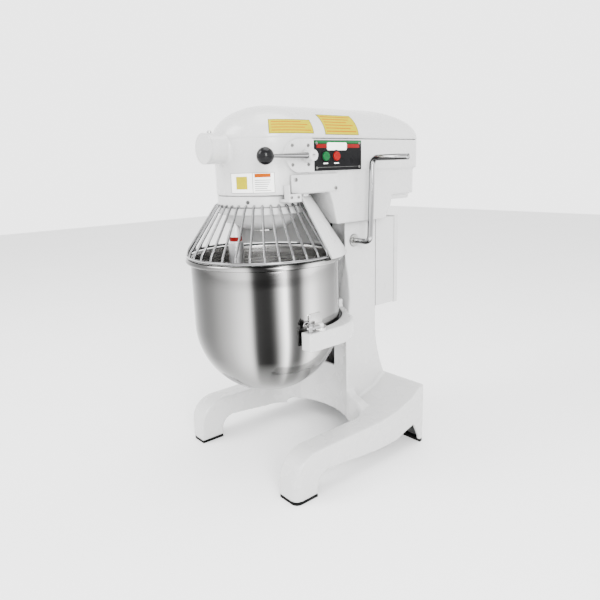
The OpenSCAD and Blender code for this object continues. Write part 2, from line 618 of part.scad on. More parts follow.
// ---- Speed lever ----
module selector_fork() color("goldenrod") stand() {
  difference() {
    translate([74, -14, 684]) cube([8, 109, 20]);
    translate([73, lever_y - 3.9, 680]) cube([10, 7.8, 22]);
  }
  difference() {
    union() {
      translate([0, 82, hub_z]) along_y() cylinder(r = 26, h = 12);
      translate([18, 82, hub_z - 4]) cube([60, 12, 14]);
    }
    translate([0, 80, hub_z]) along_y() cylinder(r = 14.6, h = 20);
    translate([-60, 80, hub_z - 60]) cube([60, 20, 120]);
  }
}
module lever_hub() color("white") stand() {
  translate([belt_half_w + 3 + clear, lever_y, lever_z]) rotate([0, 90, 0]) cylinder(r = 12, h = 6);
  translate([belt_half_w + 9, lever_y, lever_z]) rotate([0, 90, 0]) cylinder(r = 10.5, h = 17);
  translate([84, lever_y, lever_z]) rotate([0, 90, 0]) cylinder(r = 7, h = belt_half_w - 80);
  translate([84, lever_y - 5, lever_z]) cube([8, 10, 24]);
  translate([84, lever_y, lever_z + 24]) rotate([0, 90, 0]) cylinder(r = 5, h = 8);
  translate([75, lever_y, lever_z + 24]) rotate([0, 90, 0]) cylinder(r = 3.5, h = 10);
}
module lever_rod() color("silver") stand() difference() {
  translate([belt_half_w + 18, lever_y, lever_z]) rotate([90, 0, 0]) cylinder(r1 = 6.2, r2 = 3.6, h = lever_len + 6);
  translate([belt_half_w, lever_y, lever_z]) rotate([0, 90, 0]) cylinder(r = 10.5, h = 40);
  translate([100, lever_y - lever_len - 30, lever_z - 20]) cube([60, 30 - 6, 40]);
}
module lever_knob() color("black") stand() translate([belt_half_w + 18, lever_y - lever_len, lever_z]) rotate([90, 0, 0])
  rotate_extrude() difference() {
    intersection() {
      circle(16);
      translate([0, -20]) square([20, 40]);
    }
    translate([-1, -20]) square([5.15, 26]);
  }
// Push button on the panel at y, r across its cap.
module button(y, r) translate([0, y, 668]) rotate([0, 90, 0]) {
  translate([0, 0, belt_half_w + 1]) cylinder(r = r, h = 6.5);
  translate([0, 0, 94]) cylinder(r = 5.5, h = belt_half_w - 92.9);
}
module start_button() color("green") stand() button(76, 9);
module stop_button() color("red") stand() button(105, 9);

// ---- Bowl lift ----
module lift_crank() color("silver") stand() translate([0, lift_y, lift_z]) rotate([-2.4, 0, 0]) {
  bend = 13;
  arm_x = 132;
  translate([86, 0, 0]) rotate([0, 90, 0]) cylinder(r = 6.25, h = arm_x - bend - 86);
  translate([arm_x - bend, 0, bend]) rotate([90, 0, 0]) rotate_extrude(angle = 90, start = 270)
      translate([bend, 0]) circle(6.25);
  translate([arm_x, 0, bend]) cylinder(r = 6.25, h = crank_len - 2 * bend);
  translate([arm_x + bend, 0, crank_len - bend]) rotate([90, 0, 0]) rotate_extrude(angle = 90, start = 90)
      translate([bend, 0]) circle(6.25);
  translate([arm_x + bend, 0, crank_len]) rotate([0, 90, 0]) cylinder(r = 6.25, h = grip_len - bend - 1);
  translate([arm_x + grip_len - 1, 0, crank_len]) rotate([0, 90, 0]) cylinder(r1 = 6.25, r2 = 5.2, h = 1);
}
module lift_shaft() color("silver") stand() translate([-86, lift_y, lift_z]) rotate([0, 90, 0]) cylinder(r = 8, h = 172);
module lift_sector() color("dimgray") stand() translate([-7, lift_y, lift_z]) difference() {
  along_x() linear_extrude(14) {
    circle(14);
    intersection() {
      polygon(gear_points(lift_teeth, (lift_teeth / 2 - 1.1) * gear_m, (lift_teeth / 2 + 0.8) * gear_m));
      polygon(concat([[0, 0]], arc([0, 0], 70, -9, 117, 8)));
    }
  }
  translate([-1, 0, 0]) rotate([0, 90, 0]) cylinder(r = 8, h = 20);
}
module yoke() color("white") stand() {
  difference() {
    union() {
      translate([0, 0, yoke_z[0]]) linear_extrude(yoke_z[1] - yoke_z[0]) {
        circle(yoke_out);
        difference() {
          round_plate([-186, -60], [186, 135], 95);
          translate([-200, -100]) square([400, 140]);
        }
        translate([-186, -38]) square([372, 80]);
      }
      intersection() {
        translate([0, 0, 262]) cylinder(r = yoke_out, h = 92);
        translate([-72, 100, 262]) cube([144, 100, 92]);
      }
    }
    translate([0, 0, 250]) cylinder(r = yoke_in, h = 120);
    translate([-200, -200, 290]) cube([400, 162, 60]);
  }
  intersection() {
    translate([-20, 150, 268]) cube([40, 43.3, 80]);
    difference() {
      translate([0, 0, 260]) cylinder(r = 220, h = 100);
      translate([0, 0, 259]) cylinder(r = yoke_out - 1, h = 102);
    }
  }
  both_sides() translate([pin_x, 0, yoke_z[1]]) cylinder(r = 6, h = 14);
}
module slide_plate() color("gray") stand() translate([-70, 193.3, 268]) cube([140, 11, 80]);
module lift_rack() color("dimgray") stand() {
  pitch = PI * gear_m;
  line_y = lift_y + lift_teeth * gear_m / 2;
  translate([-9, 0, 0]) along_x() linear_extrude(18) polygon(concat([[line_y + 14, 268], [line_y + 14, 573],
    [line_y + 3.3, 573]], [for (k = [8:-1:-2], q = [[0.31, 3.3], [0.115, -2.4], [-0.115, -2.4], [-0.31, 3.3]])
      [line_y + q[1], lift_z + (k + 0.5 + q[0]) * pitch]], [[line_y + 3.3, 356], [204.3, 348], [204.3, 268]]));
}
module bowl() color("silver") stand() {
  difference() {
    union() {
      translate([0, 0, bowl_round_z]) sphere(bowl_r);
      translate([0, 0, bowl_round_z]) cylinder(r = bowl_r, h = rim_z - bowl_round_z);
    }
    translate([0, 0, bowl_round_z]) sphere(bowl_r - bowl_wall);
    translate([0, 0, bowl_round_z]) cylinder(r = bowl_r - bowl_wall, h = 300);
  }
  rotate_extrude() translate([bowl_r + 4, rim_z]) circle(rim_roll, $fn = 48);
  both_sides() difference() {
    union() {
      translate([150, -17, yoke_z[1]]) cube([24, 34, 6]);
      translate([pin_x, 0, yoke_z[1]]) cylinder(r = 11.5, h = 6);
      translate([150, -17, yoke_z[1]]) cube([11, 34, 31]);
    }
    translate([0, 0, 300]) cylinder(r = bowl_r - 0.5, h = 90);
    translate([pin_x, 0, 330]) cylinder(r = 6.4, h = 30);
  }
}
// Swinging bowl clamp: flat latch on a pivot stud with a wire finger loop.
module clamp() translate([pin_x, -27, 0]) {
  translate([0, 0, yoke_z[1]]) cylinder(r = 4, h = 16);
  translate([0, 0, yoke_z[1] + 7.5]) linear_extrude(4) {
    circle(9);
    translate([-7, 0]) square([14, 18]);
  }
  translate([0, 0, yoke_z[1] + 11.4]) cylinder(r = 6.5, h = 5, $fn = 6);
  translate([-4, -3, yoke_z[1] + 11.4]) rotate([0, 0, 20]) rotate([90, 0, 0]) rotate_extrude(angle = 180)
      translate([9, 0]) circle(1.3, $fn = 24);
}
module right_clamp() color("silver") stand() clamp();
module left_clamp() color("silver") stand() mirror([1, 0, 0]) clamp();

base();
column();
foot_soles();
slide_ways();
lift_bushes();
head_casting();
head_top_cover();
cover_screws();
electrical_box();
electrical_cover();
cable_gland();
contactor();
lever_plate();
control_panel();
panel_screws();
switch_blocks();
hub_cap();
hub_clamp_screw();
motor();
drive_belt();
gearbox_bearings();
main_bearings();
ring_gear();
drip_ring();
fixed_shield();
interlock_plate();
selector_guides();
guard_ring();
guard_cage();
guard_catch();
planetary_carrier();
main_shaft();
crown_wheel();
agitator_bearing();
agitator_shaft();
agitator_collar();
planet_pinion();
flat_beater();
gearbox_shaft();
bevel_pinion();
gear_cluster();
lay_shaft();
lay_gears();
lay_pulley();
motor_pulley();
selector_fork();
lever_hub();
lever_rod();
lever_knob();
start_button();
stop_button();
lift_crank();
lift_shaft();
lift_sector();
yoke();
slide_plate();
lift_rack();
bowl();
right_clamp();
left_clamp();
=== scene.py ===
import json
import math

import bmesh
import bpy
from mathutils import Matrix, Vector

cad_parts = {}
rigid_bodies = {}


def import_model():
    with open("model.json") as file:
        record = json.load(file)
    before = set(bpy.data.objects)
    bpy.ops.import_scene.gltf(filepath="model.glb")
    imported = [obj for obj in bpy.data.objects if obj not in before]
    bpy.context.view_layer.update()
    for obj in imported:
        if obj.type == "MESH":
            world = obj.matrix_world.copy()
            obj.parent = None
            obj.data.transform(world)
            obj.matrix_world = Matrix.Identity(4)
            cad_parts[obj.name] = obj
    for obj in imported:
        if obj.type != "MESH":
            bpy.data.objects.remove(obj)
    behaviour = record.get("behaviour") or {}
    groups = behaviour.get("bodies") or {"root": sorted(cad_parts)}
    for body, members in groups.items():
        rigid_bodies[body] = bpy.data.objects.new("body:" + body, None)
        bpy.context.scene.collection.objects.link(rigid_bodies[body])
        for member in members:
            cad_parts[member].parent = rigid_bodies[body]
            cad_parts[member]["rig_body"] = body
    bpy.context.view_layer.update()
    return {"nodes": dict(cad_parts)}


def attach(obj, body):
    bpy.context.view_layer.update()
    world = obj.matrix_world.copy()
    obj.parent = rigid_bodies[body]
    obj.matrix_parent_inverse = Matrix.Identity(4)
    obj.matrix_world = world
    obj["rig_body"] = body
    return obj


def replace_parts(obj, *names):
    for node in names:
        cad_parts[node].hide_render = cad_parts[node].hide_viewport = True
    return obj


bpy.ops.wm.read_factory_settings(use_empty=True)
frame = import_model()
nodes = frame["nodes"]

BX, BY = -0.013, -0.115     # bowl axis, in metres
# the rest are millimetres about the bowl axis
NOSE_Y = 17                 # centre of the head's round nose
COVER_R, NOSE_R = 112, 108  # half width of the domed cover, and the nose's wall
COVER_REAR, REAR_CORNER = 397.5, 48  # its rear end and the radius of its rear corners
JOINT_Z, COVER_RISE = 704.2, 67.6    # its lower edge and its height above that
PANEL_X = 115.45            # face of the control panel
LEVER_Y, LEVER_Z, LEVER_LEN, BALL_R = 25, 670, 109.5, 16
START_Y, STOP_Y, BUTTON_Z = 76, 105, 668
GUARD_R, FIRST_WIRE_DEG, COLLAR_SCREW_DEG = 164, 12.5, -54
BOWL_R, BOWL_WALL, BOWL_ROUND_Z = 157.5, 2, 328
HANDLE_Y, HANDLE_Z, HANDLE_LEAN_DEG = 187, 486, -2.4
CAP_LENGTH = 0.35           # of a tube's rounded ends, as a share of its radius
V = Vector


def polar(radius, degrees):
    """Polar to flat coordinates."""
    return radius * math.cos(math.radians(degrees)), radius * math.sin(math.radians(degrees))


def at(x, y, z):
    """A point given in millimetres about the bowl axis."""
    return V((x / 1000 + BX, y / 1000 + BY, z / 1000))


# ---------------------------------------------------------------- materials
def material(name, color, rough, metal=0.0, coat=0.0, vary=0.05, scale=30.0, bump=0.02, bump_scale=400.0,
             spec=0.5, rough_vary=0.08, aniso=0.0, stretch=(1, 1, 1), painted_crease_shade=0.0, edge=0.0):
    """Noise in colour, roughness and surface; painted_crease_shade paints shade into creases, corners and
    gaps between parts by ambient occlusion, edge rounds corners.
    """
    mat = bpy.data.materials.new(name)
    mat.use_nodes = True
    tree = mat.node_tree
    shader = tree.nodes["Principled BSDF"]
    shader.inputs["Metallic"].default_value = metal
    shader.inputs["Coat Weight"].default_value = coat
    shader.inputs["Coat Roughness"].default_value = 0.12
    shader.inputs["Specular IOR Level"].default_value = spec
    shader.inputs["Anisotropic"].default_value = aniso
    coords = tree.nodes.new("ShaderNodeTexCoord")
    mapping = tree.nodes.new("ShaderNodeMapping")
    mapping.inputs["Scale"].default_value = stretch
    tree.links.new(coords.outputs["Object"], mapping.inputs["Vector"])
    colour_noise = tree.nodes.new("ShaderNodeTexNoise")
    colour_noise.inputs["Scale"].default_value = scale
    colour_noise.inputs["Detail"].default_value = 5
    tree.links.new(mapping.outputs[0], colour_noise.inputs["Vector"])
    colour_ramp = tree.nodes.new("ShaderNodeValToRGB")
    colour_ramp.color_ramp.elements[0].position = 0.3
    colour_ramp.color_ramp.elements[1].position = 0.7
    colour_ramp.color_ramp.elements[0].color = [c * (1 - vary) for c in color] + [1]
    colour_ramp.color_ramp.elements[1].color = [min(1, c * (1 + vary)) for c in color] + [1]
    tree.links.new(colour_noise.outputs["Fac"], colour_ramp.inputs["Fac"])
    colour = colour_ramp.outputs["Color"]
    # painted shade: ambient occlusion darkens the colour in creases, corners and gaps between parts
    if painted_crease_shade:
        occlusion = tree.nodes.new("ShaderNodeAmbientOcclusion")
        occlusion.samples = 6
        occlusion.inputs["Distance"].default_value = 0.03
        crease_shade_ramp = tree.nodes.new("ShaderNodeValToRGB")
        crease_shade_ramp.color_ramp.elements[0].color = (1 - painted_crease_shade, 1 - painted_crease_shade, 1 - painted_crease_shade, 1)
        crease_shade_ramp.color_ramp.elements[1].position = 0.75
        tree.links.new(occlusion.outputs["AO"], crease_shade_ramp.inputs["Fac"])
        mix = tree.nodes.new("ShaderNodeMixRGB")
        mix.blend_type = "MULTIPLY"
        mix.inputs[0].default_value = 1
        tree.links.new(colour, mix.inputs[1])
        tree.links.new(crease_shade_ramp.outputs[0], mix.inputs[2])
        colour = mix.outputs[0]
    tree.links.new(colour, shader.inputs["Base Color"])
    gloss_noise = tree.nodes.new("ShaderNodeTexNoise")
    gloss_noise.inputs["Scale"].default_value = scale * 2.3
    gloss_noise.inputs["Detail"].default_value = 4
    tree.links.new(mapping.outputs[0], gloss_noise.inputs["Vector"])
    gloss_range = tree.nodes.new("ShaderNodeMapRange")
    gloss_range.inputs["From Min"].default_value = 0.3
    gloss_range.inputs["From Max"].default_value = 0.7
    gloss_range.inputs["To Min"].default_value = max(0.02, rough - rough_vary)
    gloss_range.inputs["To Max"].default_value = rough + rough_vary
    tree.links.new(gloss_noise.outputs["Fac"], gloss_range.inputs["Value"])
    tree.links.new(gloss_range.outputs[0], shader.inputs["Roughness"])
    bump_noise = tree.nodes.new("ShaderNodeTexNoise")
    bump_noise.inputs["Scale"].default_value = bump_scale
    bump_noise.inputs["Detail"].default_value = 3
    tree.links.new(mapping.outputs[0], bump_noise.inputs["Vector"])
    bump_node = tree.nodes.new("ShaderNodeBump")
    bump_node.inputs["Strength"].default_value = bump * 10
    bump_node.inputs["Distance"].default_value = 0.0002
    tree.links.new(bump_noise.outputs["Fac"], bump_node.inputs["Height"])
    if edge:
        bevel = tree.nodes.new("ShaderNodeBevel")
        bevel.samples = 4
        bevel.inputs["Radius"].default_value = edge
        tree.links.new(bevel.outputs[0], bump_node.inputs["Normal"])
    tree.links.new(bump_node.outputs[0], shader.inputs["Normal"])
    return mat


# the crease amounts given below paint shade darker into creases and gaps
M = {
    "white": material("white_enamel", (0.47, 0.47, 0.468), 0.27, coat=0.3, vary=0.015, scale=9, bump=0.03,
                      bump_scale=230, painted_crease_shade=0.5, edge=0.0012),
    "white_plain": material("white_sheet", (0.47, 0.47, 0.468), 0.33, coat=0.2, vary=0.02, scale=14,
                            bump=0.02, bump_scale=300, painted_crease_shade=0.5, edge=0.001),
    "grey_enamel": material("grey_enamel", (0.5, 0.5, 0.5), 0.38, coat=0.15, vary=0.04, scale=20, painted_crease_shade=0.3,
                            edge=0.001),
    # a near-black colour for the faces inside the base's hollow
    "near_black_inside": material("near_black_casting_inside", (0.035, 0.035, 0.035), 0.8, vary=0.3, bump=0.1),
    "motor": material("motor_enamel", (0.2, 0.22, 0.24), 0.5, vary=0.08, painted_crease_shade=0.4, edge=0.001),
    "steel": material("ground_steel", (0.42, 0.42, 0.41), 0.27, metal=1, vary=0.08, scale=60, bump=0.02,
                      edge=0.0005),
    "chrome": material("bright_plate", (0.3, 0.3, 0.305), 0.13, metal=1, vary=0.03, scale=25, bump=0.005,
                       rough_vary=0.04),
    "bowl": material("polished_stainless", (0.6, 0.595, 0.585), 0.13, metal=1, vary=0.03, scale=6, bump=0.012,
                     bump_scale=60, rough_vary=0.04, aniso=0.4, stretch=(1, 1, 14)),
    "pale_steel": material("satin_steel", (0.8, 0.8, 0.8), 0.4, metal=0.4, vary=0.05, scale=60, bump=0.02),
    "bowl_inside": material("satin_stainless", (0.5, 0.495, 0.485), 0.26, metal=1, vary=0.06, scale=6,
                            bump=0.012, bump_scale=60, stretch=(1, 1, 14)),
    "gear": material("cut_steel", (0.3, 0.3, 0.3), 0.4, metal=1, vary=0.1, edge=0.0004),
    "iron": material("machined_iron", (0.22, 0.22, 0.22), 0.5, metal=1, vary=0.12, bump=0.05),
    "bronze": material("bronze", (0.5, 0.34, 0.14), 0.4, metal=1, vary=0.1),
    "cast_al": material("burnished_aluminium", (0.6, 0.6, 0.61), 0.36, metal=1, vary=0.05, bump=0.05,
                        bump_scale=350, edge=0.0015),
    "rubber": material("black_rubber", (0.004, 0.004, 0.004), 0.62, vary=0.3, bump=0.08, bump_scale=700,
                       spec=0.05),
    "black": material("black_moulding", (0.004, 0.004, 0.0045), 0.33, vary=0.2, bump=0.03, bump_scale=900,
                      edge=0.0005, spec=0.07),
    "knob": material("black_phenolic", (0.003, 0.003, 0.0035), 0.13, coat=0.1, vary=0.2, bump=0.004,
                     spec=0.1),
    "screw": material("zinc_screw", (0.16, 0.16, 0.155), 0.33, metal=1, vary=0.1, edge=0.0003),
    "dark_screw": material("oxide_screw", (0.1, 0.1, 0.1), 0.4, metal=1, vary=0.2, edge=0.0003),
    "red": material("red_button", (0.17, 0.0012, 0.001), 0.22, coat=0.05, vary=0.06, bump=0.01, spec=0.1),
    "green": material("green_button", (0.001, 0.07, 0.018), 0.22, coat=0.05, vary=0.06, bump=0.01, spec=0.1),
    "seal": material("red_seal", (0.14, 0.0012, 0.0015), 0.4, vary=0.1, bump=0.03, spec=0.1),
    "yellow": material("yellow_label", (0.34, 0.29, 0.0), 0.6, vary=0.03, bump=0.01, spec=0.02),
    "ink": material("label_ink", (0.1, 0.08, 0.01), 0.5, vary=0.15, bump=0.01, spec=0.02),
    "label": material("white_label", (0.85, 0.85, 0.83), 0.4, vary=0.02, bump=0.01),
    "orange": material("orange_print", (0.32, 0.06, 0.0), 0.6, vary=0.05, bump=0.01, spec=0.02),
}
USE = {
    "white": ["base", "column", "head_casting", "head_top_cover", "hub_cap", "lever_plate", "interlock_plate",
              "guard_ring", "guard_catch", "yoke", "lever_hub"],
    "white_plain": ["electrical_box", "electrical_cover", "fixed_shield"],
    "grey_enamel": ["drip_ring", "planetary_carrier"],
    "motor": ["motor"],
    "steel": ["slide_ways", "lift_bushes", "main_shaft", "gearbox_shaft", "lay_shaft", "lift_shaft",
              "gearbox_bearings", "main_bearings", "agitator_bearing", "selector_guides", "slide_plate",
              "hub_clamp_screw"],
    "chrome": ["guard_cage", "lift_crank", "lever_rod", "right_clamp", "left_clamp"],
    "pale_steel": ["agitator_shaft"],
    "bowl": ["bowl"],
    "gear": ["ring_gear", "crown_wheel", "planet_pinion", "bevel_pinion", "gear_cluster", "lay_gears",
             "lift_sector", "lift_rack"],
    "iron": ["lay_pulley", "motor_pulley"],
    "bronze": ["selector_fork"],
    "cast_al": ["flat_beater"],
    "rubber": ["foot_soles", "drive_belt"],
    "black": ["cable_gland", "contactor", "control_panel", "switch_blocks"],
    "knob": ["lever_knob"],
    "screw": ["cover_screws", "panel_screws"],
    "red": ["stop_button"],
    "green": ["start_button"],
    "seal": ["agitator_collar"],
}


def painted_reflection_bands(mat, centre, stops, fade):
    """Painted reflection: soft dark and light bands painted into a turned piece's colour up its wall, as a
    polished wall shows of a studio round it; below the fade heights it keeps one plain colour.
    """
    tree = mat.node_tree
    shader = tree.nodes["Principled BSDF"]
    coords = tree.nodes.new("ShaderNodeTexCoord")
    split = tree.nodes.new("ShaderNodeSeparateXYZ")
    tree.links.new(coords.outputs["Object"], split.inputs[0])

    def calc(op, a, c):
        node = tree.nodes.new("ShaderNodeMath")
        node.operation = op
        for i, v in enumerate((a, c)):
            if isinstance(v, float):
                node.inputs[i].default_value = v
            else:
                tree.links.new(v, node.inputs[i])
        return node.outputs[0]

    across, along = (calc("SUBTRACT", split.outputs[i], centre[i]) for i in (1, 0))
    angle = calc("ARCTAN2", across, along)
    share = calc("ADD", calc("DIVIDE", angle, 2 * math.pi), 0.5)
    ramp = tree.nodes.new("ShaderNodeValToRGB")
    ramp.color_ramp.interpolation = "B_SPLINE"
    elements = ramp.color_ramp.elements
    for i, (deg, v) in enumerate(stops):
        stop = elements[i] if i < 2 else elements.new(deg / 360 + 0.5)
        stop.position = deg / 360 + 0.5
        stop.color = (v, v * 0.99, v * 0.975, 1)
    tree.links.new(share, ramp.inputs["Fac"])
    fade_in = tree.nodes.new("ShaderNodeMapRange")
    fade_in.inputs["From Min"].default_value, fade_in.inputs["From Max"].default_value = fade
    tree.links.new(split.outputs[2], fade_in.inputs["Value"])
    mix = tree.nodes.new("ShaderNodeMixRGB")
    mix.inputs[1].default_value = (0.22, 0.22, 0.215, 1)
    tree.links.new(fade_in.outputs[0], mix.inputs[0])
    tree.links.new(ramp.outputs[0], mix.inputs[2])
    tree.links.new(mix.outputs[0], shader.inputs["Base Color"])


REFLECTION_BANDS = [  # painted reflection: degrees about the bowl axis from the right side, and brightness
    (-180, 0.058), (-152, 0.1), (-132, 0.163), (-112, 0.052), (-99, 0.05), (-88, 0.057), (-80, 0.077),
    (-72, 0.139), (-62, 0.24), (-52, 0.509), (-48.5, 0.376), (-46, 0.026), (-42, 0.012), (-36, 0.008),
    (-32.5, 0.013), (-29, 0.072), (-26, 0.376), (-23, 0.93), (-21, 0.156), (-18, 0.046), (-14, 0.03),
    (-11, 0.08), (-8, 0.376), (-3, 0.815), (5, 0.376), (18, 0.156), (30, 0.065), (60, 0.252), (90, 0.058),
    (125, 0.287), (155, 0.1), (180, 0.058)]
REFLECTION_FADE = 0.205, 0.275  # heights between which the painted reflection bands fade in above the plain round bottom
# painted reflection on the bowl's outer wall
painted_reflection_bands(M["bowl"], (BX, BY), REFLECTION_BANDS, REFLECTION_FADE)


def painted_glints(mat, way, stops):
    """Painted highlights and reflections: light and dark lines painted into a polished rod's colour, set by
    how its surface faces one fixed direction.
    """
    tree = mat.node_tree
    geometry = tree.nodes.new("ShaderNodeNewGeometry")
    facing = tree.nodes.new("ShaderNodeVectorMath")
    facing.operation = "DOT_PRODUCT"
    facing.inputs[1].default_value = V(way).normalized()
    tree.links.new(geometry.outputs["Normal"], facing.inputs[0])
    share = tree.nodes.new("ShaderNodeMapRange")
    share.inputs["From Min"].default_value = -1
    tree.links.new(facing.outputs["Value"], share.inputs["Value"])
    ramp = tree.nodes.new("ShaderNodeValToRGB")
    elements = ramp.color_ramp.elements
    for i, (x, v) in enumerate(stops):
        stop = elements[i] if i < 2 else elements.new(x)
        stop.position = x
        stop.color = (v, v, v * 1.01, 1)
    tree.links.new(share.outputs[0], ramp.inputs["Fac"])
    tree.links.new(ramp.outputs[0], tree.nodes["Principled BSDF"].inputs["Base Color"])


PAINTED_GLINTS = [  # painted highlight and reflection: share of the turn towards the fixed direction, and brightness
    (0, 0.03), (0.3, 0.14), (0.48, 0.03), (0.62, 0.07), (0.74, 0.5), (0.8, 0.34), (0.9, 0.07), (1, 0.3)]
# painted highlights and reflections on the chrome parts
painted_glints(M["chrome"], (0.6, -0.35, 0.72), PAINTED_GLINTS)
for key, names in USE.items():
    for n in names:
        mesh = nodes[n].data
        mesh.materials.clear()
        mesh.materials.append(M[key])
        for face in mesh.polygons:
            face.use_smooth = True
        mesh.set_sharp_from_angle(angle=math.radians(32))


# ---------------------------------------------------------------- mesh helpers
def piece(name, verts, faces, mat, body, angle=35):
    """A smooth-shaded visual piece that rides on a body."""
    mesh = bpy.data.meshes.new(name)
    mesh.from_pydata([tuple(v) for v in verts], [], faces)
    bm = bmesh.new()
    bm.from_mesh(mesh)
    bmesh.ops.recalc_face_normals(bm, faces=bm.faces)
    bm.to_mesh(mesh)
    bm.free()
    ob = bpy.data.objects.new(name, mesh)
    bpy.context.scene.collection.objects.link(ob)
    mesh.materials.append(M[mat])
    for face in mesh.polygons:
        face.use_smooth = True
    mesh.set_sharp_from_angle(angle=math.radians(angle))
    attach(ob, body)
    return ob


def bend(points, radii, seg=8):
    """A path through points with each inner corner rounded to its radius."""
    out = [V(points[0])]
    for i in range(1, len(points) - 1):
        p, a, b = V(points[i]), V(points[i - 1]), V(points[i + 1])
        d1, d2 = (a - p).normalized(), (b - p).normalized()
        half = d1.angle(d2) / 2
        t = radii[i - 1] / math.tan(half)
        c = p + (d1 + d2).normalized() * (radii[i - 1] / math.sin(half))
        s, e = p + d1 * t - c, p + d2 * t - c
        ang = s.angle(e)
        ax = s.cross(e).normalized()
        for k in range(seg + 1):
            out.append(c + Matrix.Rotation(ang * k / seg, 3, ax) @ s)
    out.append(V(points[-1]))
    return out


def tube_data(path, r, n):
    """Vertices and faces of a round tube along a path, with slightly rounded ends."""
    vs, fs = [], []
    d = [(path[min(i + 1, len(path) - 1)] - path[max(i - 1, 0)]).normalized() for i in range(len(path))]
    u = d[0].orthogonal().normalized()
    rings = []
    for i, p in enumerate(path):
        if i:
            u = (Matrix(d[i - 1].rotation_difference(d[i]).to_matrix()) @ u).normalized()
        rings.append((p, u.copy(), d[i].cross(u).normalized(), d[i]))
    full = []
    for s, (p, a, b, t) in ((-1, rings[0]), (1, rings[-1])):
        extra = [(p + t * s * r * CAP_LENGTH * math.sin(k), math.cos(k)) for k in (0.55, 1.05, 1.4)]
        full.append([(q, a, b, w) for q, w in extra])
    seq = [(q, a, b, w * r) for q, a, b, w in reversed(full[0])]
    seq += [(p, a, b, r) for p, a, b, t in rings]
    seq += [(q, a, b, w * r) for q, a, b, w in full[1]]
    for p, a, b, w in seq:
        for k in range(n):
            c = 2 * math.pi * k / n
            vs.append(p + (a * math.cos(c) + b * math.sin(c)) * w)
    m = len(seq)
    for i in range(m - 1):
        for k in range(n):
            fs.append((i * n + k, i * n + (k + 1) % n, (i + 1) * n + (k + 1) % n, (i + 1) * n + k))
    fs.append(tuple(range(n - 1, -1, -1)))
    fs.append(tuple(range((m - 1) * n, m * n)))
    return vs, fs


def join(parts):
    """One mesh from several."""
    vs, fs = [], []
    for v, f in parts:
        o = len(vs)
        vs += v
        fs += [tuple(i + o for i in q) for q in f]
    return vs, fs


def lathe_data(profile, n, a0=0.0, a1=360.0, closed=False):
    """Turns a profile of (radius, height) in mm about the bowl axis, from angle a0 to a1 in degrees."""
    full = abs(a1 - a0) >= 359.9
    steps = n if full else n + 1
    vs, fs = [], []
    for k in range(steps):
        a = math.radians(a0 + (a1 - a0) * k / n)
        for r, z in profile:
            vs.append(at(r * math.cos(a), r * math.sin(a), z))
    m = len(profile)
    for k in range(n):
        q = (k + 1) % steps
        for i in range(m if closed else m - 1):
            j = (i + 1) % m
            fs.append((k * m + i, q * m + i, q * m + j, k * m + j))
    if closed and not full:
        fs.append(tuple(range(m)))
        fs.append(tuple(range((steps - 1) * m, steps * m))[::-1])
    return vs, fs


def prism_data(outline, depth, place, r):
    """A plate with rounded edges from an outline of 2D points; place maps (u, v, w) in mm to a point."""
    bm = bmesh.new()
    lo = [bm.verts.new((u, v, 0)) for u, v in outline]
    f = bm.faces.new(lo)
    ext = bmesh.ops.extrude_face_region(bm, geom=[f])
    for e in ext["geom"]:
        if isinstance(e, bmesh.types.BMVert):
            e.co.z = depth
    bmesh.ops.recalc_face_normals(bm, faces=bm.faces)
    edges = [e for e in bm.edges if abs(e.verts[0].co.z - e.verts[1].co.z) < 1e-9]
    bmesh.ops.bevel(bm, geom=edges, offset=r, segments=3, affect="EDGES", profile=0.5)
    bm.verts.index_update()
    vs = [place(*v.co) for v in bm.verts]
    fs = [tuple(v.index for v in g.verts) for g in bm.faces]
    bm.free()
    return vs, fs


def round_rect(a, b, c, d, r):
    """A rectangle from (a, b) to (c, d) with corners of radius r."""
    n = 6
    out = []
    for cx, cy, s in ((c - r, d - r, 0), (a + r, d - r, 90), (a + r, b + r, 180), (c - r, b + r, 270)):
        for k in range(n + 1):
            t = math.radians(s + 90 * k / n)
            out.append((cx + r * math.cos(t), cy + r * math.sin(t)))
    return out


def soften(names, voxel, smooth, mat, name, seam=None, inside=None):
    """A copy of cast CAD nodes with their edges and corners blended as a foundry pattern's are.

    seam is the height where two nodes of one casting meet; inside gives a box another material.
    """
    me = bpy.data.meshes.new(name)
    ob = bpy.data.objects.new(name, me)
    bpy.context.scene.collection.objects.link(ob)
    bm = bmesh.new()
    for n in names:
        bm.from_mesh(nodes[n].data)
    if seam:
        flat = [f for f in bm.faces if all(abs(v.co.z - seam) < 2e-5 for v in f.verts)]
        bmesh.ops.delete(bm, geom=flat, context="FACES")
    bmesh.ops.remove_doubles(bm, verts=bm.verts, dist=1e-6)
    bm.to_mesh(me)
    bm.free()
    remesh = ob.modifiers.new("r", "REMESH")
    remesh.mode = "VOXEL"
    remesh.voxel_size = voxel
    s = ob.modifiers.new("s", "SMOOTH")
    s.factor = 0.5
    s.iterations = smooth
    decimate = ob.modifiers.new("d", "DECIMATE")
    decimate.ratio = 0.5
    bpy.context.view_layer.update()
    depsgraph = bpy.context.evaluated_depsgraph_get()
    cast = bpy.data.meshes.new_from_object(ob.evaluated_get(depsgraph))
    ob.modifiers.clear()
    ob.data = cast
    cast.materials.clear()
    cast.materials.append(M[mat])
    for face in cast.polygons:
        face.use_smooth = True
    if inside:
        cast.materials.append(M[inside[0]])
        lo, hi = at(*inside[1]), at(*inside[2])
        for face in cast.polygons:
            if all(lo[i] < face.center[i] < hi[i] for i in range(3)):
                face.material_index = 1
    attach(ob, nodes[names[0]]["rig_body"])
    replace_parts(ob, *names)
    return ob


# ---------------------------------------------------------------- castings
SEAM_Z = 0.15
# faces inside the base's hollow take the near-black colour
BASE_HOLLOW = ("near_black_inside", (-189, 188, -1), (189, 299, 96))
soften(["base", "column"], 0.0026, 6, "white", "pedestal_cast", SEAM_Z, BASE_HOLLOW)
soften(["head_casting"], 0.0024, 4, "white", "head_cast")
soften(["yoke"], 0.002, 5, "white", "yoke_cast")



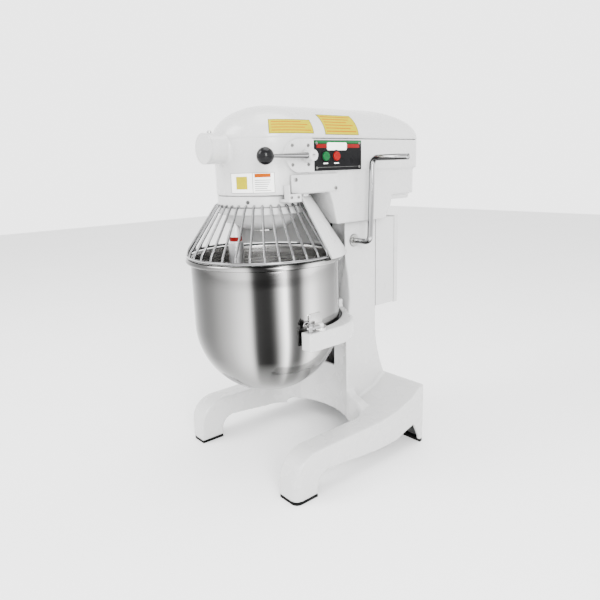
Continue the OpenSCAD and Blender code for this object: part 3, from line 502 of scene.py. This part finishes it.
def dome():
    """The head's domed cover, from rings that shrink as they rise."""
    def ring(t, w0, rise, rear, z0):
        w = w0 * math.sqrt(max(0, 1 - t * t))
        rc = min(REAR_CORNER, w)
        end = rear - (w0 - w)
        pts = []
        for k in range(49):
            x, y = polar(w, 180 + 180 * k / 48)
            pts.append((x, NOSE_Y + y))
        for k in range(21):
            x, y = polar(rc, 90 * k / 20)
            pts.append((w - rc + x, end - rc + y))
        for k in range(21):
            y, x = polar(rc, 90 * k / 20)
            pts.append((rc - w - x, end - rc + y))
        return [at(x, y, z0 + rise * t) for x, y in pts]
    levels = [math.sin(math.radians(a)) for a in range(0, 85, 4)] + [0.9962, 0.9995]
    rings = [ring(0, COVER_R - 0.8, 0, COVER_REAR - 0.8, JOINT_Z - 1)]  # tucked in under the edge
    rings.append(ring(0, COVER_R, 0, COVER_REAR, JOINT_Z))
    rings += [ring(t, COVER_R, COVER_RISE, COVER_REAR, JOINT_Z) for t in levels[1:]]
    n = len(rings[0])
    vs = [p for r in rings for p in r]
    fs = []
    for j in range(len(rings) - 1):
        for i in range(n):
            fs.append((j * n + i, j * n + (i + 1) % n, (j + 1) * n + (i + 1) % n, (j + 1) * n + i))
    fs.append(tuple(range((len(rings) - 1) * n, len(rings) * n)))
    return piece("domed_cover", vs, fs, "white", "body", angle=60)


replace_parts(dome(), "head_top_cover")


def skirt():
    """The smooth run of the nose's wall up into the dome."""
    vs, fs = [], []
    rows, cols = 14, 64
    for j in range(rows + 1):
        t = j / rows
        w, z = 108.1 + 3.9 * (3 * t * t - 2 * t ** 3), 646 + 58.2 * t
        line = [(-w, 44), (-w, 30)]
        for k in range(cols + 1):
            x, y = polar(w, 180 + 180 * k / cols)
            line.append((x, NOSE_Y + y))
        line += [(w, 30), (w, 44)]
        vs += [at(x, y, z) for x, y in line]
    n = cols + 5
    for j in range(rows):
        for i in range(n - 1):
            fs.append((j * n + i, j * n + i + 1, (j + 1) * n + i + 1, (j + 1) * n + i))
    return piece("nose_flare", vs, fs, "white", "body", angle=60)


skirt()

# ---------------------------------------------------------------- labels: blank, with plain rules
def cover_point(s, t, off):
    """A point on the domed cover's right side: s mm back along its edge, t degrees up its section.

    The section is a millimetre taller than the dome's, which keeps the labels clear of it.
    """
    w, h = (COVER_R + off) * math.cos(math.radians(t)), 703.6 + (68.6 + off) * math.sin(math.radians(t))
    if s < 0:
        return at(w * math.cos(s / COVER_R), NOSE_Y + w * math.sin(s / COVER_R), h)
    return at(w, NOSE_Y + s, h)


def nose_point(s, z, off):
    """A point on the nose's lower wall, s degrees round it."""
    a = math.radians(s)
    return at((NOSE_R + off) * math.cos(a), NOSE_Y + (NOSE_R + off) * math.sin(a), z)


def decal(name, where, s0, s1, t0, t1, mat, lift=0.3, n=24, m=14):
    """A thin label that covers a range of the two coordinates of the surface where()."""
    vs, fs = [], []
    for off in (0.02, lift):
        for j in range(m + 1):
            for i in range(n + 1):
                t = t0 + (t1 - t0) * j / m
                vs.append(where(s0 + (s1 - s0) * i / n, t, off))
    w, k = n + 1, (n + 1) * (m + 1)
    for j in range(m):
        for i in range(n):
            q = j * w + i
            fs.append((q, q + w, q + w + 1, q + 1))
            fs.append((q + k, q + 1 + k, q + w + 1 + k, q + w + k))
    for i in range(n):
        fs.append((i, i + 1, i + 1 + k, i + k))
        fs.append((m * w + i, m * w + i + k, m * w + i + 1 + k, m * w + i + 1))
    for j in range(m):
        fs.append((j * w, j * w + k, (j + 1) * w + k, (j + 1) * w))
        fs.append((j * w + n, (j + 1) * w + n, (j + 1) * w + n + k, j * w + n + k))
    return piece(name, vs, fs, mat, "body")


for tag, s0, s1, t0, t1, rows in (("a", -67, 33, 6.5, 30, 4), ("b", 63, 158, 5, 42.5, 6)):
    decal("cover_label_" + tag, cover_point, s0, s1, t0, t1, "yellow", 0.35)
    dt, e = (t1 - t0) / (rows + 1), 0.9
    for i, (a, b) in enumerate(((t0, t0 + e), (t1 - e, t1))):
        decal("cover_label_%s_rim%d" % (tag, i), cover_point, s0, s1, a, b, "ink", 0.42, m=1)
    for i, (a, b) in enumerate(((s0, s0 + 1.2), (s1 - 1.2, s1))):
        decal("cover_label_%s_end%d" % (tag, i), cover_point, a, b, t0, t1, "ink", 0.42, n=1)
    for r in range(rows):
        t = t0 + dt * (r + 0.95)
        ends = s1 - 6 - (r * 37 % 23)
        decal("cover_label_%s_rule%d" % (tag, r), cover_point, s0 + 6, ends, t, t + dt * 0.24, "orange", 0.42,
              m=1)
decal("nose_label", nose_point, -78.5, -30, 602.6, 641, "label", 0.25)
NOSE_RIM = ((-78.5, -30, 602.6, 603.4), (-78.5, -30, 640.2, 641), (-78.5, -78, 603.4, 640.2),
            (-30.5, -30, 603.4, 640.2), (-52.9, -52.4, 603.4, 640.2))
for i, (a, b, c, d) in enumerate(NOSE_RIM):
    decal("nose_label_rim%d" % i, nose_point, a, b, c, d, "dark_screw", 0.3, m=1)
decal("nose_label_mark", nose_point, -71.5, -58.5, 610, 634, "yellow", 0.32)
decal("nose_label_head", nose_point, -50.5, -34, 632, 639, "orange", 0.32)
for r in range(6):
    z = 606.5 + 3.9 * r
    decal("nose_label_rule%d" % r, nose_point, -50.5, -34 - (r * 29 % 5), z, z + 1.2, "screw", 0.3, m=1)


# ---------------------------------------------------------------- control panel face
def panel_plate(name, outline, depth, mat, r):
    """A thin patch on the control panel."""
    data = prism_data(outline, depth, lambda u, v, w: at(PANEL_X + w, u, v), r)
    piece(name, *data, mat, "body", angle=30)


panel_plate("panel_band_green", round_rect(47.2, 692.6, 177, 698, 1), 0.35, "green", 0.1)
panel_plate("panel_band_red", round_rect(52, 684, 172, 691.4, 1), 0.3, "seal", 0.1)
panel_plate("panel_patch", round_rect(80, 679.5, 135, 694.5, 4), 0.55, "label", 0.15)
panel_plate("panel_line", round_rect(52, 646.5, 172, 647.2, 0.3), 0.25, "screw", 0.05)
panel_plate("panel_mark_a", round_rect(70, 653.2, 82, 655.4, 0.6), 0.25, "label", 0.05)
panel_plate("panel_mark_b", round_rect(99, 653.2, 112, 655.4, 0.6), 0.25, "label", 0.05)


def turned(name, profile, origin, axis, mat, body, n=48):
    """Turns a profile of (radius, height) in mm about an axis through origin."""
    q = V((0, 0, 1)).rotation_difference(V(axis))
    vs, fs = [], []
    m = len(profile)
    for k in range(n):
        a = 2 * math.pi * k / n
        for r, z in profile:
            vs.append(at(*origin) + q @ V((r * math.cos(a), r * math.sin(a), z)) / 1000)
    for k in range(n):
        j = (k + 1) % n
        for i in range(m - 1):
            fs.append((k * m + i, j * m + i, j * m + i + 1, k * m + i + 1))
    fs.append(tuple(k * m for k in range(n))[::-1])
    fs.append(tuple(k * m + m - 1 for k in range(n)))
    return piece(name, vs, fs, mat, body, angle=40)


CAP = [(5.4, 94), (5.4, 113.2), (8.4, 113.2), (9, 113.8), (9, 118.2), (8.5, 119), (7.4, 119.5), (6, 119.3),
       (3, 118.9), (0.3, 118.7)]
BEZEL = [(9.7, 115.4), (12.4, 115.4), (12.4, 116.3), (11.8, 117), (10.3, 117.2), (9.7, 116.8), (9.7, 115.4)]
for name, y, mat, body in (("start", START_Y, "green", "start"), ("stop", STOP_Y, "red", "stop")):
    ob = turned(name + "_cap", CAP, (0, y, BUTTON_Z), (1, 0, 0), mat, body)
    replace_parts(ob, name + "_button")
    turned(name + "_bezel", BEZEL, (0, y, BUTTON_Z), (1, 0, 0), "black", "body")

# ---------------------------------------------------------------- speed lever
boss = [(11.2, 115.4), (12, 116.2), (12, 120.4), (11.4, 121.3), (10.4, 121.6), (10.4, 133.5), (9.6, 136.2),
        (7.6, 137.6), (4, 138), (0.3, 138)]
turned("lever_boss", boss, (0, LEVER_Y, LEVER_Z), (1, 0, 0), "white", "speed_lever")
rod = [(0.3, 8), (5.4, 8), (6.0, 9.5), (5.9, 14), (5.2, 24), (4.3, 52), (3.4, LEVER_LEN - 22),
       (3.4, LEVER_LEN - 12), (0.3, LEVER_LEN - 12)]
ob = turned("lever_arm", rod, (130, LEVER_Y, LEVER_Z), (0, -1, 0), "chrome", "speed_lever")
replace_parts(ob, "lever_rod")
ball = [(4.2, LEVER_LEN - 16.2), (5.2, LEVER_LEN - 16.2), (5.6, LEVER_LEN - 15)]
for k in range(22, 179, 6):
    x, y = polar(BALL_R, k)
    ball.append((y, LEVER_LEN - x))
ball.append((0.3, LEVER_LEN + 15.99))
ob = turned("lever_ball", ball, (130, LEVER_Y, LEVER_Z), (0, -1, 0), "knob", "speed_lever")
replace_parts(ob, "lever_knob")

# ---------------------------------------------------------------- guard
WIRE_LINE = ((88, 577.6), (96.8, 577.6), (160, 487), (GUARD_R, 475))
parts = []
for k in range(22):
    c, s = polar(1, FIRST_WIRE_DEG - 9.8 * k)
    path = bend([at(r * c, r * s, z) for r, z in WIRE_LINE], [0.005, 0.014])
    parts.append(tube_data(path, 0.0024, 12))
hoop = [at(*polar(GUARD_R, FIRST_WIRE_DEG - 205.8 * k / 160), 476) for k in range(161)]
parts.append(tube_data(hoop, 0.0028, 14))
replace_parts(piece("guard_wires", *join(parts), "chrome", "guard", angle=60), "guard_cage")
collar = [(85.8, 575.5), (86.8, 574.3), (91, 574.3), (92.5, 575.8), (92.5, 594.6), (91.2, 596.2), (87, 596.2),
          (85.8, 595.4)]
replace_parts(piece("guard_collar", *lathe_data(collar, 128, closed=True), "white", "guard"), "guard_ring")
head = [(2.5, 0), (3.6, 0), (3.6, 1.4), (3, 2), (2, 2), (1.9, 1), (0.2, 1)]
outward = (*polar(1, COLLAR_SCREW_DEG), 0)
turned("collar_screw", head, (*polar(92, COLLAR_SCREW_DEG), 585), outward, "dark_screw", "guard", 24)

# heads of the screws in the interlock plate and in the guard's catch
PLATE_SCREWS = (((112.8, 0, 625), 3.5, "body"), ((112.8, 106, 605), 3.5, "body"),
                ((121.2, -19, 592.5), 2.6, "guard"), ((121.2, -2, 592.5), 2.6, "guard"))
for i, (origin, rad, rider) in enumerate(PLATE_SCREWS):
    head = [(rad * 0.7, 0), (rad, 0), (rad, 0.9), (rad * 0.85, 1.3), (rad * 0.5, 1.4), (rad * 0.45, 0.8),
            (0.2, 0.8)]
    turned("plate_screw%d" % i, head, origin, (1, 0, 0), "screw", rider, 24)

# ---------------------------------------------------------------- fixed shield with its folded front edge
SHIELD_FROM, SHIELD_TO = 12, 168  # degrees about the bowl axis
sheet = [(100.4, 590), (102, 590), (176, 472), (174.6, 472)]
flange = [(96, 590.4), (102, 590.4), (102, 592.2), (96, 592.2)]
fold = [(99.5, 591.8), (104.4, 591.8), (178.4, 473.2), (173.4, 471.2)]
lug = [(96, 592), (108, 592), (108, 597), (96, 597)]
parts = [lathe_data(line, 96, SHIELD_FROM, SHIELD_TO, closed=True) for line in (sheet, flange)]
for a0, a1 in ((SHIELD_FROM, SHIELD_FROM + 3.5), (SHIELD_TO - 3.5, SHIELD_TO)):
    parts.append(lathe_data(fold, 6, a0, a1, closed=True))
parts += [lathe_data(lug, 10, b, b + 10, closed=True) for b in (13, 157)]
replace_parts(piece("shield_sheet", *join(parts), "white_plain", "body"), "fixed_shield")


# ---------------------------------------------------------------- bowl
def arc(radius, cx, cz, degrees):
    """Points on a circle about (cx, cz), one for each angle."""
    return [(cx + x, cz + z) for x, z in (polar(radius, a) for a in degrees)]


inner = arc(BOWL_R - BOWL_WALL, 0, BOWL_ROUND_Z, range(-90, 1, 3))
inner[0] = (0.4, inner[0][1])
inner += [(BOWL_R - BOWL_WALL, z) for z in (360, 420, 461)]
curl = arc(6, 161.5, 466, range(180, -141, -16))
outer = [(BOWL_R, z) for z in (459.5, 420, 360)] + arc(BOWL_R, 0, BOWL_ROUND_Z, range(0, -91, -3))
outer[-1] = (0.4, outer[-1][1])
parts = [lathe_data(inner + curl + outer, 160)]
tab = [(156.5, -17), (172, -17)] + arc(11.4, 174, 0, range(-60, 61, 12)) + [(172, 17), (156.5, 17)]
for s in (1, -1):
    parts.append(prism_data(tab, 6, lambda u, v, w: at(s * u, v, 337 + w), 0.8))
    plate = round_rect(-17, 337.3, 17, 368, 5)
    parts.append(prism_data(plate, 3.6, lambda u, v, w: at(s * (157.2 + w), u, v), 0.8))
bowl = piece("bowl_spun", *join(parts), "bowl", "carriage", angle=50)
bowl.data.materials.append(M["bowl_inside"])
for p in bowl.data.polygons:
    out = V((p.center.x - BX, p.center.y - BY, min(0, p.center.z - BOWL_ROUND_Z / 1000)))
    if p.normal.dot(out) < 0 and out.length < 0.1563:
        p.material_index = 1
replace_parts(bowl, "bowl")

# ---------------------------------------------------------------- lift handle
lean = Matrix.Rotation(math.radians(HANDLE_LEAN_DEG), 3, "X")
corners = [V((0.086, 0, 0)), V((0.132, 0, 0)), V((0.132, 0, 0.177)), V((0.2266, 0, 0.177))]
path = bend([at(0, HANDLE_Y, HANDLE_Z) + lean @ p for p in corners], [0.013, 0.013], 10)
rod = piece("handle_rod", *tube_data(path, 0.00625, 24), "chrome", "lift_handle", angle=60)
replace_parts(rod, "lift_crank")


# ---------------------------------------------------------------- floor, lights, camera
def stage_floor():
    mesh = bpy.data.meshes.new("floor")
    half = 6
    corners = [(-half, -half, 0), (half, -half, 0), (half, half, 0), (-half, half, 0)]
    mesh.from_pydata(corners, [], [(0, 1, 2, 3)])
    ob = bpy.data.objects.new("floor", mesh)
    bpy.context.scene.collection.objects.link(ob)
    mesh.materials.append(material("pale_floor", (0.93, 0.93, 0.93), 0.7, vary=0.01, scale=2, bump=0.0))


stage_floor()
world = bpy.data.worlds.new("studio")
bpy.context.scene.world = world
world.use_nodes = True
tree = world.node_tree
background = tree.nodes["Background"]
coords = tree.nodes.new("ShaderNodeTexCoord")
split = tree.nodes.new("ShaderNodeSeparateXYZ")
tree.links.new(coords.outputs["Generated"], split.inputs[0])
ramp = tree.nodes.new("ShaderNodeValToRGB")
ramp.color_ramp.elements[0].position = 0.3
ramp.color_ramp.elements[0].color = (1, 1, 1, 1)
ramp.color_ramp.elements[1].position = 0.8
ramp.color_ramp.elements[1].color = (0.5, 0.5, 0.5, 1)
tree.links.new(split.outputs[2], ramp.inputs[0])
tree.links.new(ramp.outputs[0], background.inputs["Color"])
background.inputs["Strength"].default_value = 3.5


def area(name, loc, target, size, power):
    li = bpy.data.lights.new(name, "AREA")
    li.energy = power
    li.shape = "RECTANGLE"
    li.size, li.size_y = size
    ob = bpy.data.objects.new(name, li)
    ob.location = loc
    ob.rotation_mode = "QUATERNION"
    ob.rotation_quaternion = (V(target) - V(loc)).to_track_quat("-Z", "Y")
    bpy.context.scene.collection.objects.link(ob)


area("key", (-1.2, -2.2, 2.4), (0, 0, 0.4), (1.2, 1.6), 90)
area("fill", (2.2, -1.1, 1.3), (0, 0, 0.4), (0.9, 1.6), 110)
area("top", (0.2, 0.2, 2.6), (0, 0, 0.4), (1.6, 1.6), 50)

cam_data = bpy.data.cameras.new("camera")
cam = bpy.data.objects.new("camera", cam_data)
bpy.context.scene.collection.objects.link(cam)
bpy.context.scene.camera = cam
# turn about Z, tilt down and roll, solved from the circles of the bowl, guard and hub
yaw, pitch, roll = (math.radians(a) for a in (50.2, 13.7, -1.8))
forward = V((-math.sin(yaw) * math.cos(pitch), math.cos(yaw) * math.cos(pitch), -math.sin(pitch)))
level_right = V((math.cos(yaw), math.sin(yaw), 0))
level_up = level_right.cross(forward)
right = level_right * math.cos(roll) + level_up * math.sin(roll)
up = level_up * math.cos(roll) - level_right * math.sin(roll)
turn = Matrix((right, up, -forward)).transposed()
cam.matrix_world = Matrix.Translation(at(940.8, -689.7, 649.6)) @ turn.to_4x4()
cam_data.sensor_width = 36
cam_data.lens = 32.82
cam_data.clip_start, cam_data.clip_end = 0.05, 50
